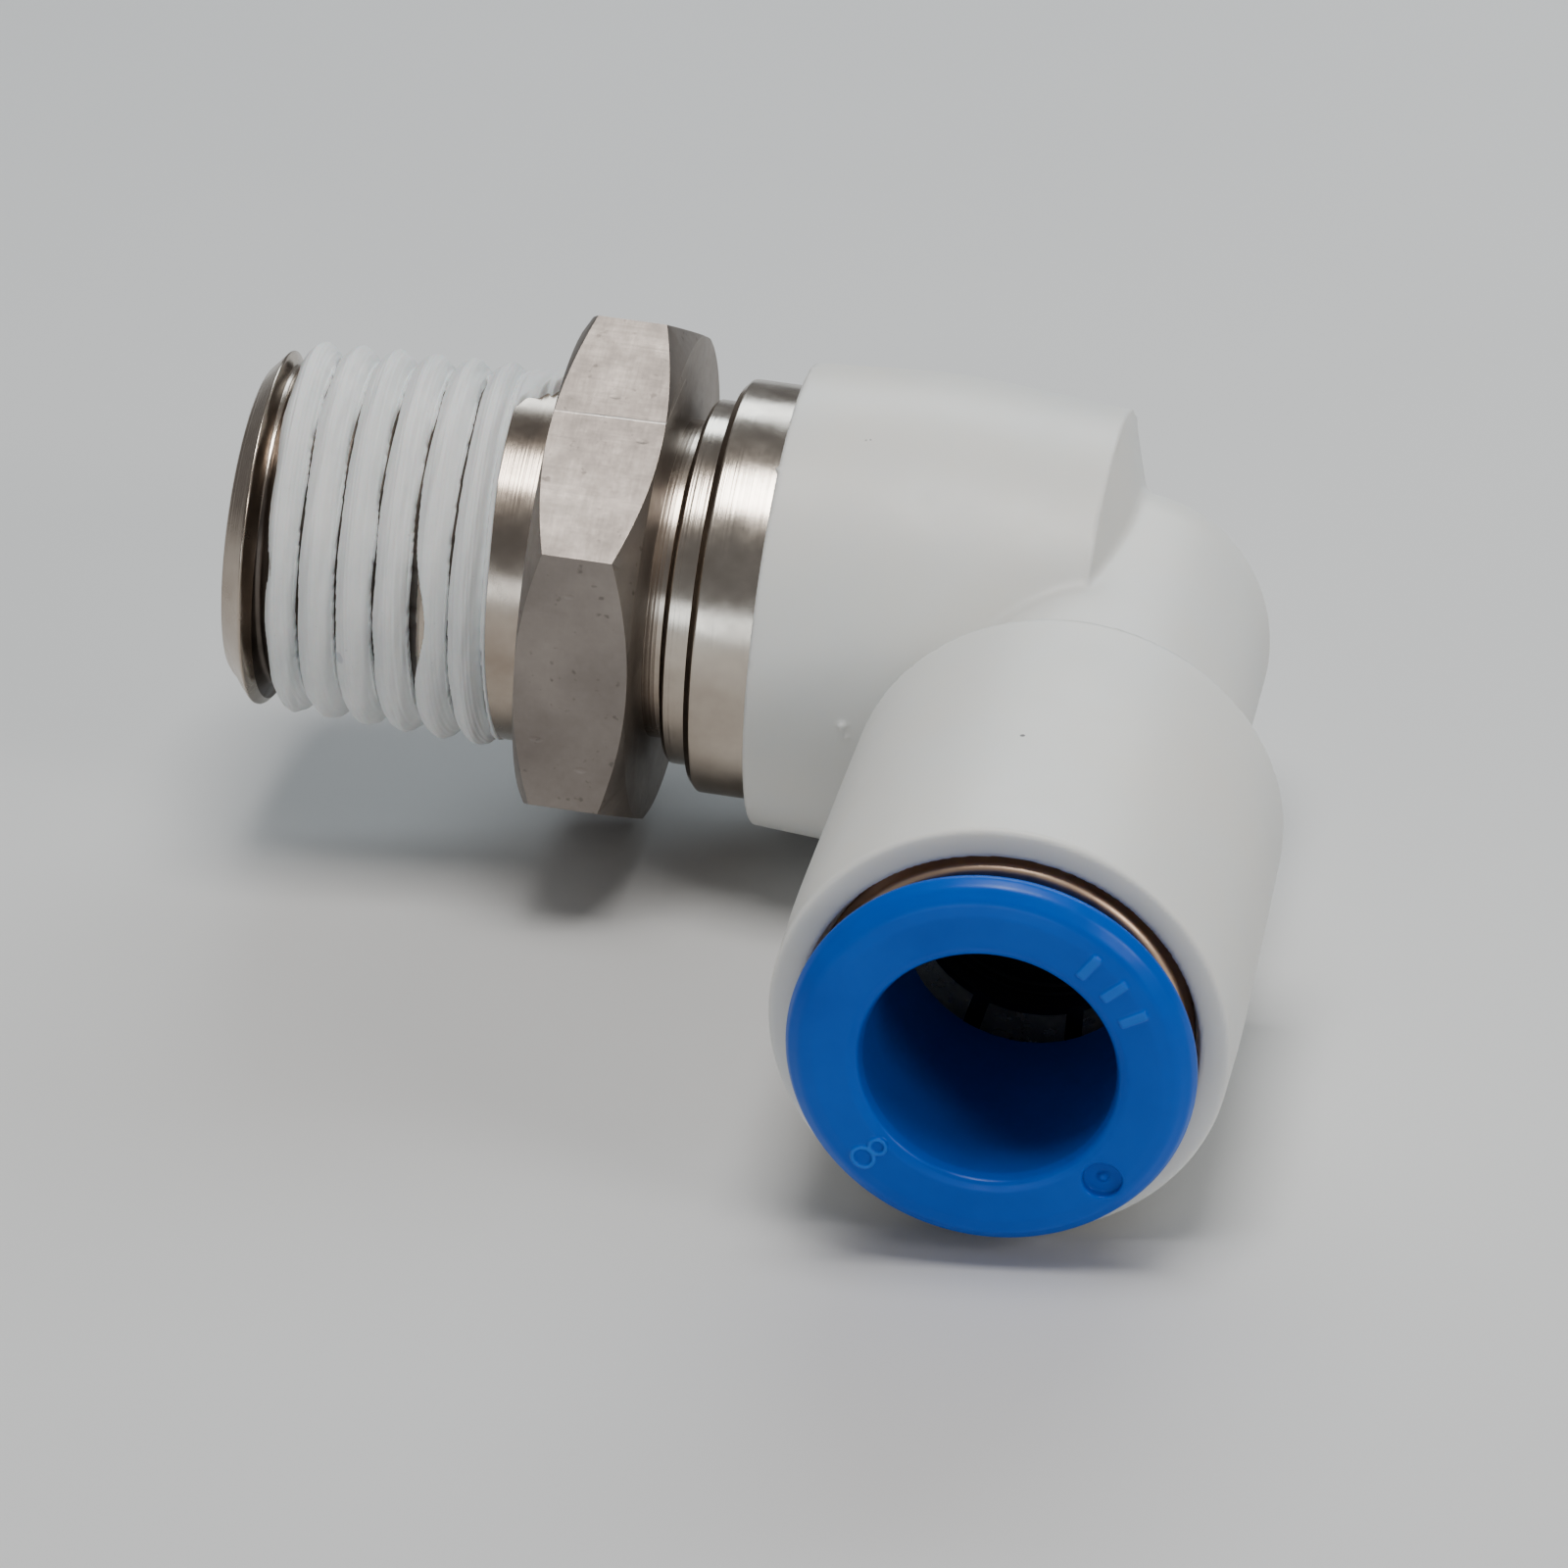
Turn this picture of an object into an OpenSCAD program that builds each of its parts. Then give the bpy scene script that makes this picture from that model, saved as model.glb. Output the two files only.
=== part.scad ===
// Push to connect elbow fitting: a taper-threaded stud, a swivelling moulded elbow and a push-in tube port.
// Frame: X is the thread axis (thread tip towards -X), the tube port faces -Y, +Z is up.
// The origin is on the thread axis, in the thread-side face of the hexagon.

/* [Thread] */
// Gauge-plane major diameter of the taper pipe thread
thread_gauge_d = 13.157; // [12.8:0.001:13.5]
// Thread pitch
thread_pitch = 1.337; // [1.2:0.001:1.45]
// Number of full thread crests
thread_crests = 6; // [5:1:6]
// Distance from the hexagon face to the tip of the stud
thread_reach = 11; // [10.9:0.05:11.2]
// Distance of the first coated crest behind the tip
first_crest = 1.93; // [1.85:0.02:2]
// Length of plain neck between the thread and the hexagon
neck_len = 1.6; // [1.5:0.05:1.7]
// Radius of that neck
neck_r = 6.42; // [6.2:0.02:6.5]
// Thickness of the sealant coat over the crests
coat_crest = 0.06; // [0.04:0.01:0.1]
// Depth of the grooves left between the coated crests
coat_groove = 0.46; // [0.3:0.02:0.5]

/* [Hexagon and stud] */
// Hexagon width across flats
hex_af = 17; // [16:0.1:18]
// Hexagon thickness
hex_len = 3.93; // [3.5:0.01:4.5]
// Chamfer angle of the hexagon faces
hex_chamfer = 30; // [20:1:40]
// Flow bore diameter at the thread end
bore_d = 7; // [6.8:0.1:7.4]
// Flow bore diameter in the spigot
spigot_bore_d = 6.8; // [6:0.1:6.8]
// Spigot diameter that the swivel turns on
spigot_d = 10; // [9.8:0.05:10.1]
// Radial running clearance of the swivel
swivel_gap = 0.05; // [0.02:0.01:0.1]
// Section diameter of the spigot seal ring
oring_d = 1.1; // [0.9:0.05:1.15]

/* [Swivel collar] */
// Gap between the hexagon and the collar
collar_gap = 0.76; // [0.5:0.02:1]
// Diameter of the step ring at the end of the collar
step_ring_d = 12.84; // [12:0.02:13.2]
// Width of that step ring
step_ring_len = 0.98; // [0.7:0.02:1.2]
// Diameter of the visible collar
collar_d = 14.58; // [14:0.02:15]
// Diameter of the moulded-in sleeve
sleeve_d = 13; // [12.6:0.1:13.4]

/* [Elbow body] */
// Distance from the hexagon face to the tube axis
knee_x = 19.7; // [19.5:0.1:20.5]
// Distance from the hexagon face to the mouth of the swivel barrel
mouth_x = 7.96; // [7.7:0.02:8.2]
// Largest diameter of the swivel barrel
barrel_a_d = 16.82; // [16.4:0.02:17.2]
// Diameter of the swivel barrel at its mouth
barrel_a_mouth_d = 16.3; // [16:0.02:16.4]
// Diameter of the swivel barrel at its closed end
barrel_a_end_d = 16; // [15.6:0.02:16.2]
// Knee diameter
knee_d = 10.5; // [10:0.1:11]
// Distance from the thread axis to the shoulder of the tube barrel
shoulder_t = 12.2; // [12:0.1:12.8]
// Largest diameter of the tube barrel
barrel_b_d = 15.1; // [14.8:0.02:15.4]
// Diameter of the tube barrel at its shoulder
barrel_b_back_d = 14.7; // [14.4:0.02:14.8]
// Distance from the thread axis to the face of the tube barrel
face_t = 26.8; // [26.7:0.05:27]
// Flow passage diameter inside the elbow
passage_d = 7; // [5.5:0.1:7.1]

/* [Tube port] */
// Outside diameter of the tube that the port takes
tube_d = 8; // [7.9:0.02:8.1]
// Guide sleeve outside diameter
guide_d = 12.4; // [12.2:0.02:12.5]
// Diameter of the open recess in the face around the guide
face_hole_d = 13; // [12.8:0.02:13.1]
// Collet outside diameter
collet_d = 11.24; // [11.1:0.02:11.3]
// Number of collet slits
collet_slits = 6; // [4:1:8]
// Number of chuck teeth
chuck_teeth = 8; // [6:1:12]

/* [Release button] */
// Flange diameter
flange_d = 13.34; // [13.1:0.02:13.6]
// Distance from the thread axis to the button's front face
front_t = 29.13; // [29.05:0.01:29.4]
// Flange thickness
flange_len = 1.13; // [0.9:0.01:1.2]
// Button travel
stroke = 1.1; // [0.8:0.05:1.1]
// Bore of the button
button_bore_d = 8.2; // [8.16:0.02:8.3]
// Outside diameter of the button sleeve
button_sleeve_d = 9.48; // [9.4:0.02:9.5]
// Height of the raised size mark
mark_h = 0.12; // [0.08:0.01:0.2]

/* [Hidden] */
$fn = 96;
eps = 0.01;

// Thread form: ring grooves at the pitch on a 1 in 16 taper, with a depth of 0.64 pitch.
tip_x = -thread_reach;
gauge_x = tip_x + 5.6;
thread_depth = 0.64 * thread_pitch;
crest_x0 = tip_x + first_crest;
crest_flat = 0.1;
runout_x = -neck_len;
function crest_r(x) = thread_gauge_d / 2 + (x - gauge_x) / 32;
function root_r(x) = crest_r(x) - thread_depth;
function crest_at(i) = crest_x0 + i * thread_pitch;
function thread_line() = [for (i = [0:thread_crests - 1]) for (p = [
    [crest_r(crest_at(i)), crest_at(i) - crest_flat],
    [crest_r(crest_at(i)), crest_at(i) + crest_flat],
    [root_r(crest_at(i) + thread_pitch / 2), crest_at(i) + thread_pitch / 2 - crest_flat],
    [root_r(crest_at(i) + thread_pitch / 2), crest_at(i) + thread_pitch / 2 + crest_flat]
    ]) if (i < thread_crests - 1 || p[0] > root_r(p[1]) + 0.2) p];
lead_root_x = crest_x0 - thread_pitch / 2;
lead_line = [[6.06, tip_x + 0.58], [root_r(lead_root_x), lead_root_x - crest_flat],
    [root_r(lead_root_x), lead_root_x + crest_flat]];
flank = (crest_r(crest_x0) - root_r(lead_root_x)) / (thread_pitch / 2 - 2 * crest_flat);
coat_foot = [root_r(lead_root_x) + 0.22 * flank, lead_root_x + crest_flat + 0.22];
runout_line = [[neck_r - 0.1, runout_x - 0.35], [neck_r, runout_x]];
coated_line = concat([coat_foot], thread_line(), runout_line);
metal_line = concat(lead_line, coated_line);
tip_line = [[4.1, tip_x], [5.36, tip_x], [5.46, tip_x + 0.06]];

// Sealant: the same crests, fuller grooves and thin ends.
function coat_line() = [for (i = [thread_crests - 1:-1:0]) for (p = [
    [crest_r(crest_at(i)) + coat_crest - coat_groove, crest_at(i) + thread_pitch / 2],
    [crest_r(crest_at(i)) + coat_crest, crest_at(i) + 0.22],
    [crest_r(crest_at(i)) + coat_crest, crest_at(i) - 0.22]
    ]) if (i < thread_crests - 1 || p[1] < crest_at(i) + 0.3) p];
coat_end = [[neck_r + 0.02, runout_x - 0.02], [neck_r + 0.1, runout_x - 0.12]];
coat_start = [[coat_foot[0] + 0.16, coat_foot[1] - 0.02]];

// Stud behind the hexagon.
collar_x = hex_len + collar_gap;
shoulder_r = 5.6;
spigot_r = spigot_d / 2;
collar_bore_r = spigot_r + swivel_gap;
seal_x = 9.8;
seal_w = 1.7;
seal_groove_r = spigot_r - oring_d;
sleeve_end_x = 14.2;
ring_x = sleeve_end_x + 0.1;
ring_w = 0.8;
ring_groove_r = spigot_r - 0.4;
ring_r = 5.5;
cavity_r = 5.85;
spigot_end_x = 15.8;

// Hollow of the elbow, measured along the tube axis from the thread axis.
passage_r = passage_d / 2;
tube_r = tube_d / 2;
pocket_r = tube_r + 0.1;
seal_t = 14.6;
back_t = 17.2;
guide_t = 18;
guide_end_t = face_t - 0.05;
guide_r = guide_d / 2;
guide_in_r = guide_r - 0.48;
guide_lip_r = 5.42;
face_hole_r = face_hole_d / 2;

// Collet, chuck and button.
collet_t = 18.6;
collet_end_t = face_t;
collet_r = collet_d / 2;
collet_in_r = button_sleeve_d / 2 + 0.1;
latch_r = button_sleeve_d / 2 + 0.24;
chuck_t = 18.95;
chuck_end_t = 21.15;
chuck_r = 5.27;
chuck_wall = 0.2;
tooth_tip_t = 18.62;
tooth_tip_r = tube_r + 0.12;
tooth_root_r = 4.8;
tooth_slope = (tooth_root_r - tooth_tip_r) / (chuck_end_t - 0.15 - tooth_tip_t);
function tooth_r(t) = tooth_tip_r + (t - tooth_tip_t) * tooth_slope;
function tooth_t(r) = tooth_tip_t + (r - tooth_tip_r) / tooth_slope;
button_r = button_sleeve_d / 2;
button_bore_r = button_bore_d / 2;
nose_r = button_bore_r + 0.15;
nose_t = tooth_t(nose_r + 0.06) + stroke;
nose_end_t = tooth_t(button_r + 0.06) + stroke;
flange_r = flange_d / 2;
flange_t = front_t - flange_len;
groove_end_t = 24.6;
groove_t = groove_end_t - stroke - 0.8;

// Size mark and moulding gate on the button's front face.
mark_angle = 226;
mark_r = 5.1;
gate_angle = 319;
gate_r = 5.28;
gate_d = 1.2;

// Turn a profile of [radius, distance] about the thread axis.
module about_x(points)
{
    rotate([0, 90, 0])
        rotate_extrude()
            polygon(points);
}

// Turn a profile of [radius, distance] about the tube axis.
module about_tube(points)
{
    translate([knee_x, 0, 0])
        rotate([90, 0, 0])
            rotate_extrude()
                polygon(points);
}

// Place children at a radius and a clock angle about the tube axis, at a distance from the thread axis.
// Angle 0 points to +X and 90 to +Z.
module on_tube(angle, radius, t)
{
    translate([knee_x + radius * cos(angle), -t, radius * sin(angle)])
        rotate([90, 0, 0])
            children();
}

module hexagon()
{
    hex_r = hex_af / 2;
    corner_r = hex_af / 2 / cos(30) + 0.1;
    rise = (corner_r - hex_r) * tan(hex_chamfer);
    intersection()
    {
        rotate([0, 90, 0])
            cylinder(h = hex_len, r = hex_af / 2 / cos(30), $fn = 6);
        about_x([[0, 0], [hex_r, 0], [corner_r, rise], [corner_r, hex_len - rise],
            [hex_r, hex_len], [0, hex_len]]);
    }
}

module stud()
{
    color([0.62, 0.58, 0.53])
    difference()
    {
        union()
        {
            about_x(concat([[0, tip_x]], tip_line, metal_line, [[neck_r, 0.5], [0, 0.5]]));
            hexagon();
            about_x([[0, 1], [shoulder_r, 1], [shoulder_r, collar_x - 0.1], [spigot_r, collar_x - 0.1],
                [spigot_r, seal_x], [seal_groove_r, seal_x], [seal_groove_r, seal_x + seal_w],
                [spigot_r, seal_x + seal_w], [spigot_r, ring_x], [ring_groove_r, ring_x],
                [ring_groove_r, ring_x + ring_w], [spigot_r, ring_x + ring_w],
                [spigot_r, spigot_end_x - 0.3], [spigot_r - 0.3, spigot_end_x], [0, spigot_end_x]]);
        }
        about_x([[0, tip_x - 1], [bore_d / 2 + 0.4, tip_x - 1], [bore_d / 2 + 0.4, tip_x],
            [bore_d / 2, tip_x + 0.4], [bore_d / 2, hex_len], [spigot_bore_d / 2, hex_len + 0.4],
            [spigot_bore_d / 2, spigot_end_x + 1], [0, spigot_end_x + 1]]);
    }
}

module thread_sealant()
{
    color([0.93, 0.93, 0.92])
        about_x(concat(coated_line, coat_end, coat_line(), coat_start));
}

module spigot_seal()
{
    color([0.05, 0.05, 0.05])
        rotate([0, 90, 0])
            translate([0, 0, seal_x + seal_w / 2])
                rotate_extrude()
                    translate([spigot_r + 0.02 - oring_d / 2, 0])
                        circle(d = oring_d, $fn = 48);
}

module retaining_ring()
{
    color([0.55, 0.55, 0.56])
    difference()
    {
        about_x([[ring_groove_r + 0.02, ring_x + 0.02], [ring_r, ring_x + 0.02],
            [ring_r, ring_x + ring_w - 0.02], [ring_groove_r + 0.02, ring_x + ring_w - 0.02]]);
        translate([ring_x - 0.5, -0.7, 0])
            cube([ring_w + 1, 1.4, 8]);
    }
}

// Outline of the collar that the elbow is moulded onto.
sleeve_r = sleeve_d / 2;
collar_shell = [[collar_d / 2 - 0.15, mouth_x + 0.9], [collar_d / 2, mouth_x + 0.75],
    [collar_d / 2, collar_x + step_ring_len + 0.2], [collar_d / 2 - 0.2, collar_x + step_ring_len],
    [step_ring_d / 2, collar_x + step_ring_len], [step_ring_d / 2, collar_x + 0.15],
    [step_ring_d / 2 - 0.15, collar_x]];
collar_sleeve = [[sleeve_r, sleeve_end_x], [sleeve_r, 13], [sleeve_r - 0.5, 12.7], [sleeve_r - 0.5, 11.9],
    [sleeve_r, 11.6], [sleeve_r, 10.6], [sleeve_r - 0.5, 10.3], [sleeve_r - 0.5, 9.5],
    [sleeve_r, 9.2], [sleeve_r, mouth_x + 0.9]];

module swivel_collar()
{
    color([0.66, 0.62, 0.57])
    about_x(concat([[collar_bore_r, sleeve_end_x]], collar_sleeve, collar_shell,
        [[collar_bore_r + 0.2, collar_x], [collar_bore_r, collar_x + 0.2]]));
}

barrel_a_r = barrel_a_d / 2;
mouth_r = barrel_a_mouth_d / 2;
end_r = barrel_a_end_d / 2;
barrel_a = [[0, mouth_x], [mouth_r - 0.12, mouth_x], [mouth_r, mouth_x + 0.12],
    [mouth_r + 0.1, mouth_x + 1.75], [barrel_a_r - 0.03, mouth_x + 3.8], [barrel_a_r, mouth_x + 4.8],
    [barrel_a_r - 0.03, mouth_x + 5.9], [barrel_a_r - 0.18, mouth_x + 8],
    [end_r, knee_x - 0.8], [end_r - 0.06, knee_x - 0.62], [end_r - 0.25, knee_x - 0.5],
    [knee_d / 2, knee_x], [0, knee_x]];
barrel_b_r = barrel_b_d / 2;
back_r = barrel_b_back_d / 2;
barrel_b = [[0, shoulder_t], [back_r - 0.45, shoulder_t], [back_r - 0.2, shoulder_t + 0.09],
    [back_r - 0.05, shoulder_t + 0.32], [back_r, shoulder_t + 0.8], [back_r + 0.06, shoulder_t + 3.2],
    [barrel_b_r - 0.1, shoulder_t + 5.8], [barrel_b_r - 0.03, shoulder_t + 8.8],
    [barrel_b_r, shoulder_t + 11], [barrel_b_r - 0.06, face_t - 0.5],
    [barrel_b_r - 0.12, face_t - 0.18], [barrel_b_r - 0.28, face_t], [0, face_t]];

module body()
{
    color([0.88, 0.87, 0.84])
    difference()
    {
        union()
        {
            about_x(barrel_a);
            translate([knee_x, 0, 0])
                sphere(d = knee_d);
            about_tube([[0, 0], [knee_d / 2, 0], [knee_d / 2, shoulder_t + 0.5], [0, shoulder_t + 0.5]]);
            about_tube(barrel_b);
        }
        about_x(concat([[0, mouth_x - 1], [0, 16.3], [cavity_r, 16.3], [cavity_r, sleeve_end_x]],
            collar_sleeve, [[collar_d / 2 - 0.15, mouth_x + 0.9], [collar_d / 2, mouth_x + 0.75],
            [collar_d / 2, mouth_x - 1]]));
        about_x([[0, 16], [passage_r, 16], [passage_r, knee_x], [0, knee_x]]);
        translate([knee_x, 0, 0])
            sphere(d = passage_d);
        about_tube([[0, 0], [passage_r, 0], [passage_r, shoulder_t], [pocket_r, shoulder_t],
            [pocket_r, seal_t], [guide_r, seal_t], [guide_r, face_t - 1],
            [face_hole_r, face_t - 0.9], [face_hole_r, face_t + 1], [0, face_t + 1]]);
    }
}

module tube_seal()
{
    color([0.04, 0.04, 0.04])
    about_tube([[guide_r, seal_t], [guide_r, back_t], [guide_r - 0.7, back_t], [guide_r - 1, back_t - 0.9],
        [guide_r - 1.3, back_t - 0.9], [pocket_r + 0.35, back_t - 0.1], [pocket_r + 0.05, back_t - 0.1],
        [pocket_r + 0.05, back_t - 0.5], [pocket_r + 0.4, back_t - 1.3], [pocket_r + 0.4, seal_t]]);
}

module back_ring()
{
    color([0.10, 0.10, 0.11])
    about_tube([[pocket_r + 0.15, back_t], [guide_r, back_t], [guide_r, guide_t],
        [guide_in_r - 0.08, guide_t], [guide_in_r - 0.08, collet_t - 0.08],
        [pocket_r + 0.6, collet_t - 0.08], [pocket_r + 0.15, guide_t]]);
}

module guide()
{
    color([0.66, 0.44, 0.30])
    about_tube([[guide_in_r, guide_t], [guide_r, guide_t], [guide_r, guide_end_t - 0.34],
        [guide_r - 0.1, guide_end_t - 0.1], [guide_r - 0.34, guide_end_t],
        [guide_lip_r + 0.1, guide_end_t], [guide_lip_r, guide_end_t - 0.1],
        [guide_lip_r, guide_end_t - 0.95], [guide_in_r, guide_end_t - 1.55]]);
}

module collet()
{
    color([0.10, 0.10, 0.11])
    difference()
    {
        about_tube([[collet_in_r, chuck_end_t + 0.03], [collet_in_r, groove_t],
            [latch_r + 0.08, groove_t], [latch_r + 0.08, groove_end_t], [collet_in_r, groove_end_t],
            [collet_in_r, collet_end_t], [5.3, collet_end_t], [5.3, 24.9], [collet_r, 24.3],
            [collet_r, collet_t], [5.05, collet_t], [5.05, chuck_t - 0.03], [chuck_r + 0.03, chuck_t - 0.03],
            [chuck_r + 0.03, chuck_end_t + 0.03]]);
        for (i = [0:collet_slits - 1])
            translate([knee_x, 0, 0])
                rotate([0, i * 360 / collet_slits, 0])
                    translate([-0.3, -collet_end_t - 1, 0])
                        cube([0.6, collet_end_t + 1 - 22, collet_d]);
    }
}

module chuck()
{
    color([0.72, 0.73, 0.75])
    difference()
    {
        about_tube([[tooth_tip_r, tooth_tip_t], [tooth_tip_r + 0.12, tooth_tip_t],
            [tooth_r(chuck_end_t - chuck_wall) + chuck_wall, chuck_end_t - chuck_wall],
            [chuck_r - chuck_wall, chuck_end_t - chuck_wall], [chuck_r - chuck_wall, chuck_t],
            [chuck_r, chuck_t], [chuck_r, chuck_end_t], [tooth_root_r, chuck_end_t]]);
        for (i = [0:chuck_teeth - 1])
            translate([knee_x, 0, 0])
                rotate([0, (i + 0.5) * 360 / chuck_teeth, 0])
                    translate([-0.3, -(chuck_end_t - chuck_wall), 0])
                        cube([0.6, chuck_end_t - chuck_wall - tooth_tip_t + 1, 5.03]);
    }
}

// Raised ring of the size mark.
module mark_ring(d)
{
    difference()
    {
        cylinder(h = mark_h + 0.3, d = d, $fn = 48);
        translate([0, 0, -1])
            cylinder(h = mark_h + 3, d = d - 0.28, $fn = 48);
    }
}

module release_button()
{
    color([0.03, 0.24, 0.72])
    difference()
    {
        union()
        {
            about_tube([[button_bore_r, nose_t], [nose_r, nose_t], [button_r, nose_end_t],
                [button_r, groove_end_t - 0.62], [latch_r, groove_end_t - 0.52],
                [latch_r, groove_end_t - 0.02], [button_r, groove_end_t - 0.02], [button_r, flange_t],
                [flange_r - 0.35, flange_t], [flange_r - 0.1, flange_t + 0.1], [flange_r, flange_t + 0.34],
                [flange_r - 0.06, flange_t + 0.62], [flange_r - 0.22, flange_t + 0.86],
                [flange_r - 0.45, flange_t + 1.03], [flange_r - 0.75, front_t],
                [button_bore_r + 0.36, front_t], [button_bore_r + 0.16, front_t - 0.06],
                [button_bore_r + 0.04, front_t - 0.2], [button_bore_r, front_t - 0.4]]);
            on_tube(mark_angle, mark_r + 0.29, front_t - 0.3)
                mark_ring(0.9);
            on_tube(mark_angle, mark_r - 0.36, front_t - 0.3)
                mark_ring(0.66);
        }
        on_tube(gate_angle, gate_r, front_t - 0.2)
            difference()
            {
                cylinder(h = 1, d = gate_d, $fn = 48);
                translate([0, 0, -1])
                    cylinder(h = 1.12, d = gate_d * 0.36, $fn = 48);
            }
    }
}

stud();
thread_sealant();
spigot_seal();
retaining_ring();
swivel_collar();
body();
tube_seal();
back_ring();
guide();
collet();
chuck();
release_button();
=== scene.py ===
"""Visual model of the push to connect elbow fitting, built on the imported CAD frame."""
import math

import bmesh
import bpy
import numpy as np
from mathutils import Matrix, Vector


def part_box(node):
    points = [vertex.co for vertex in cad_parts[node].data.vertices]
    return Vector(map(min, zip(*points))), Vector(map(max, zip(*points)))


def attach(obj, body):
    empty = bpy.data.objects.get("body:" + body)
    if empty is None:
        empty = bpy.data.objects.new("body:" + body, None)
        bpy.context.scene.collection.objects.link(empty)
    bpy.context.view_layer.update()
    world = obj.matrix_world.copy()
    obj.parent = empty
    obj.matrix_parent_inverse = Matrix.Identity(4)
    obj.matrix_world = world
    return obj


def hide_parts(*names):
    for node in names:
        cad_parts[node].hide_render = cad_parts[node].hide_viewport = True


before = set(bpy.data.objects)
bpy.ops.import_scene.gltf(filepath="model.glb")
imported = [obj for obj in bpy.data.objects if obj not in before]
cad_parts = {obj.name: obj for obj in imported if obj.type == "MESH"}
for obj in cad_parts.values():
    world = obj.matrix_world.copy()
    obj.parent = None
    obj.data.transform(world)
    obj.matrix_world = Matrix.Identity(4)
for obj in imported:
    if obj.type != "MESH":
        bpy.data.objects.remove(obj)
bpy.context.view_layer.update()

MM = 0.001
SEGMENTS = 256


def edges_mm(node):
    """Lowest and highest corner of a CAD node, in millimetres."""
    lo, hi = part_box(node)
    return np.array(lo) / MM, np.array(hi) / MM


# Sizes read from the frame, in mm.
body_lo, body_hi = edges_mm("body")
button_lo, button_hi = edges_mm("release_button")
stud_lo, stud_hi = edges_mm("stud")
collar_lo, collar_hi = edges_mm("swivel_collar")
guide_lo, guide_hi = edges_mm("guide")
KNEE_X = (button_lo[0] + button_hi[0]) / 2
MOUTH_X = body_lo[0]
FACE_T = -body_lo[1]
BARREL_A_R = body_hi[1]
BARREL_B_R = body_hi[0] - KNEE_X
FLANGE_R = (button_hi[0] - button_lo[0]) / 2
NOSE_T = -button_hi[1]
GUIDE_R = guide_hi[2]
GUIDE_T = -guide_hi[1]
RIM_T = -guide_lo[1] + 0.08
COLLAR_R = collar_hi[2]
COLLAR_X = collar_lo[0]
SLEEVE_END_X = collar_hi[0]
TIP_X = stud_lo[0]
SPIGOT_END_X = stud_hi[0]
HEX_FLAT_R = stud_hi[1]
HEX_CORNER_R = HEX_FLAT_R / math.cos(math.radians(30))

# Sizes that the frame's boxes don't give, in mm. X sizes run along the thread axis from the hexagon's
# thread-side face, and T sizes along the tube axis from the thread axis.
HEX_LEN = 3.93
NECK_R = 6.42
BORE_R, SPIGOT_BORE_R = 3.5, 3.4
SPIGOT_R, SHOULDER_R = 5.0, 5.6
SEAL_X, SEAL_END_X, SEAL_GROOVE_R = 9.8, 11.5, 3.9
RING_X, RING_END_X, RING_GROOVE_R = SLEEVE_END_X + 0.1, SLEEVE_END_X + 0.9, 4.6
COLLAR_BORE_R, STEP_RING_R, SLEEVE_R = 5.05, 6.42, 6.5
CAVITY_R, CAVITY_END_X = 5.85, 16.3
KNEE_R = 5.25
SHOULDER_T, POCKET_END_T = 12.2, 14.6
POCKET_R, RECESS_R = 4.1, 6.5
BUTTON_BORE_R, BUTTON_SLEEVE_R, LATCH_R = 4.1, 4.74, 4.98
LATCH_T, LATCH_END_T = 23.98, 24.58
FRONT_T = 29.13
FLANGE_T = FRONT_T - 1.13
LIP_R = 5.42

# Clock angles on the button's front face, in degrees: 0 points to +X and 90 to +Z.
MARK_ANGLE, GATE_ANGLE = 226, 319
BAR_ANGLES = (31, 43.5, 56)
GATE_R, BAR_R = 5.28, 5.25
MARK_LOOPS = ((5.39, 0.37, 0.35, 0.075), (4.74, 0.27, 0.26, 0.07))

BODY_STEPS, BUTTON_STEPS = (0.2, 0.13), (0.12, 0.07)


# ---------------------------------------------------------------- mesh helpers

def make_object(name, verts_mm, faces, body, material, replaces=(), smooth=True):
    """A piece from points in mm, riding on a body and standing for CAD nodes."""
    mesh = bpy.data.meshes.new(name)
    verts = np.asarray(verts_mm, np.float64) * MM
    if isinstance(faces, np.ndarray):
        mesh.vertices.add(len(verts))
        mesh.vertices.foreach_set("co", verts.ravel().astype(np.float32))
        mesh.loops.add(faces.size)
        mesh.loops.foreach_set("vertex_index", faces.ravel().astype(np.int32))
        mesh.polygons.add(len(faces))
        sides = faces.shape[1]
        mesh.polygons.foreach_set("loop_start", np.arange(len(faces), dtype=np.int32) * sides)
        mesh.update(calc_edges=True)
        mesh.validate()
    else:
        mesh.from_pydata([tuple(v) for v in verts], [], faces)
    if smooth:
        mesh.polygons.foreach_set("use_smooth", [True] * len(mesh.polygons))
    obj = bpy.data.objects.new(name, mesh)
    bpy.context.scene.collection.objects.link(obj)
    dress(obj, body, material, replaces)
    return obj


def dress(obj, body, material, replaces=()):
    obj.data.materials.clear()
    for item in material if isinstance(material, (list, tuple)) else [material]:
        obj.data.materials.append(item)
    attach(obj, body)
    if replaces:
        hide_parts(*replaces)


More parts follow.
